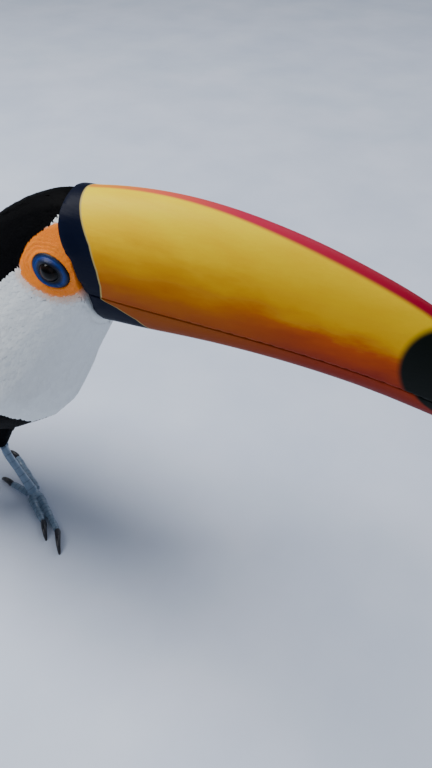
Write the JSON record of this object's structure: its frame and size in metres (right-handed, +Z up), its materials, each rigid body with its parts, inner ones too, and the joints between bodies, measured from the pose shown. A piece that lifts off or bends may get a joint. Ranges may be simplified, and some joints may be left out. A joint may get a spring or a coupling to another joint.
{
  "type": "toco toucan",
  "caption": "Adult toco toucan standing still on the floor, life size, its head turned a little to its left",
  "frame": {"origin": "on the floor, under the middle of the whole bird's box", "axes": "+X forward along the bird from tail to bill, +Y to its left, +Z up"},
  "size_m": [0.5516, 0.112, 0.2955],
  "materials": {
    "black_plumage": "satin",
    "white_plumage": "matte",
    "red_plumage": "matte",
    "face_skin": "satin",
    "eye_ring_skin": "satin",
    "eye": "gloss",
    "bill_horn": "satin",
    "lower_bill_horn": "satin",
    "leg_scales": "satin",
    "claw_horn": "satin"
  },
  "bodies": {
    "root": {"bill_lower": "lower_bill_horn", "bill_upper": "bill_horn", "claw1_left": "claw_horn", "claw1_right": "claw_horn", "claw2_left": "claw_horn", "claw2_right": "claw_horn", "claw3_left": "claw_horn", "claw3_right": "claw_horn", "claw4_left": "claw_horn", "claw4_right": "claw_horn", "crown_and_nape": "black_plumage", "eye_left": "eye", "eye_right": "eye", "eye_ring_left": "eye_ring_skin", "eye_ring_right": "eye_ring_skin", "face_skin_left": "face_skin", "face_skin_right": "face_skin", "shank_left": "leg_scales", "shank_right": "leg_scales", "tail_coverts_under": "red_plumage", "tail_coverts_upper": "white_plumage", "tail_feather_left_1": "black_plumage", "tail_feather_left_2": "black_plumage", "tail_feather_left_3": "black_plumage", "tail_feather_left_4": "black_plumage", "tail_feather_left_5": "black_plumage", "tail_feather_right_1": "black_plumage", "tail_feather_right_2": "black_plumage", "tail_feather_right_3": "black_plumage", "tail_feather_right_4": "black_plumage", "tail_feather_right_5": "black_plumage", "thigh_left": "black_plumage", "thigh_right": "black_plumage", "throat_and_bib": "white_plumage", "toe1_left": "leg_scales", "toe1_right": "leg_scales", "toe2_left": "leg_scales", "toe2_right": "leg_scales", "toe3_left": "leg_scales", "toe3_right": "leg_scales", "toe4_left": "leg_scales", "toe4_right": "leg_scales", "trunk": "black_plumage", "wing_left": "black_plumage", "wing_right": "black_plumage"}
  },
  "joints": []
}
